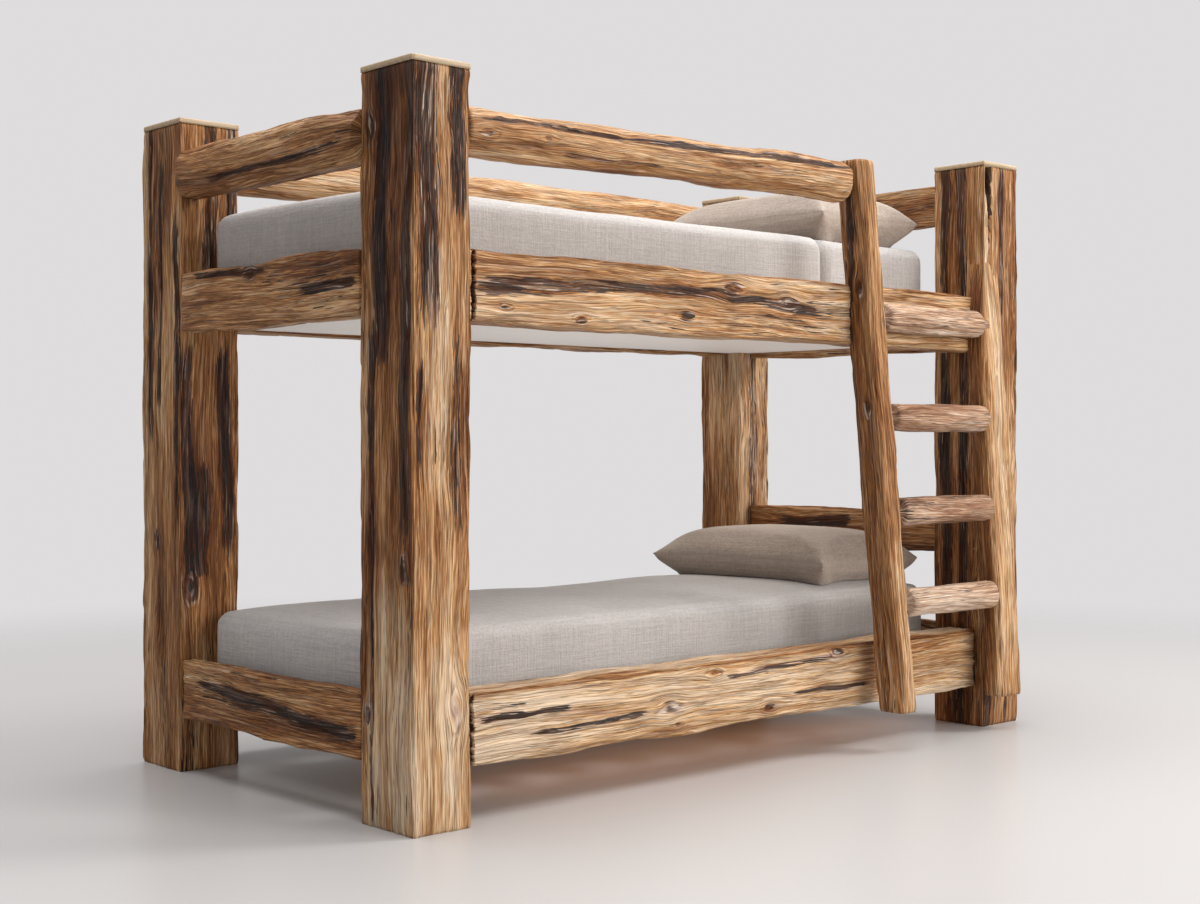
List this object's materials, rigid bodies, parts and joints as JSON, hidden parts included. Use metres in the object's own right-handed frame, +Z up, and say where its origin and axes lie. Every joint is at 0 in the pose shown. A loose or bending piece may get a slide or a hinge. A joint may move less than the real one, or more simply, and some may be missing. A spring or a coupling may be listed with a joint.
{
  "type": "bunk bed",
  "caption": "Rustic hewn-timber bunk bed: squared posts, plank side rails, log guards, a leaning built-in ladder, slatted bases, linen mattresses and pillows.",
  "frame": {"origin": "on the floor, under the middle of the footprint", "axes": "+X along the bed from the foot end to the head end, +Y from the ladder side to the back, +Z up"},
  "size_m": [2.2547, 1.274, 1.65],
  "materials": {
    "hewn_timber": "hand-hewn softwood, streaked charcoal to honey, satin oil",
    "peeled_rung": "peeled pole, pale pinkish tan, satin",
    "bare_cap": "bare pale board",
    "planed_slat": "planed bare softwood",
    "pale_panel": "pale painted board",
    "mattress_linen": "warm light grey linen weave",
    "pillow_linen": "taupe grey linen weave"
  },
  "bodies": {
    "frame": {"back_foot_post": "hewn_timber", "back_foot_post_cap": "bare_cap", "back_guard": "hewn_timber", "back_head_post": "hewn_timber", "back_head_post_cap": "bare_cap", "back_lower_rail": "hewn_timber", "back_upper_rail": "hewn_timber", "foot_guard": "hewn_timber", "foot_lower_rail": "hewn_timber", "foot_upper_rail": "hewn_timber", "front_foot_post": "hewn_timber", "front_foot_post_cap": "bare_cap", "front_guard": "hewn_timber", "front_head_post": "hewn_timber", "front_head_post_cap": "bare_cap", "front_lower_rail": "hewn_timber", "front_upper_rail": "hewn_timber", "head_guard": "hewn_timber", "head_lower_rail": "hewn_timber", "head_upper_rail": "hewn_timber", "headboard_rail": "hewn_timber", "left_stile": "hewn_timber", "left_stile_peg": "planed_slat", "lower_back_cleat": "planed_slat", "lower_front_cleat": "planed_slat", "lower_slat_1": "planed_slat", "lower_slat_2": "planed_slat", "lower_slat_3": "planed_slat", "lower_slat_4": "planed_slat", "lower_slat_5": "planed_slat", "lower_slat_6": "planed_slat", "lower_slat_7": "planed_slat", "lower_slat_8": "planed_slat", "lower_slat_9": "planed_slat", "right_stile": "hewn_timber", "right_stile_lower_peg": "planed_slat", "right_stile_upper_peg": "planed_slat", "rung_1": "peeled_rung", "rung_2": "peeled_rung", "rung_3": "peeled_rung", "rung_4": "peeled_rung", "underside_panel": "pale_panel", "upper_back_cleat": "planed_slat", "upper_front_cleat": "planed_slat", "upper_slat_1": "planed_slat", "upper_slat_2": "planed_slat", "upper_slat_3": "planed_slat", "upper_slat_4": "planed_slat", "upper_slat_5": "planed_slat", "upper_slat_6": "planed_slat", "upper_slat_7": "planed_slat", "upper_slat_8": "planed_slat", "upper_slat_9": "planed_slat"},
    "lower_mattress_body": {"lower_mattress": "mattress_linen"},
    "lower_pillow_body": {"lower_pillow": "pillow_linen"},
    "upper_mattress_body": {"upper_mattress": "mattress_linen"},
    "upper_pillow_body": {"upper_pillow": "pillow_linen"}
  },
  "joints": [
    {"name": "lower_mattress_lift", "type": "slide", "parent": "frame", "child": "lower_mattress_body", "axis": [0, 0, 1], "range_m": [0, 0.2]},
    {"name": "lower_pillow_lift", "type": "slide", "parent": "lower_mattress_body", "child": "lower_pillow_body", "axis": [0, 0, 1], "range_m": [0, 0.25]},
    {"name": "upper_mattress_lift", "type": "slide", "parent": "frame", "child": "upper_mattress_body", "axis": [0, 0, 1], "range_m": [0, 0.3]},
    {"name": "upper_pillow_lift", "type": "slide", "parent": "upper_mattress_body", "child": "upper_pillow_body", "axis": [0, 0, 1], "range_m": [0, 0.3]}
  ]
}
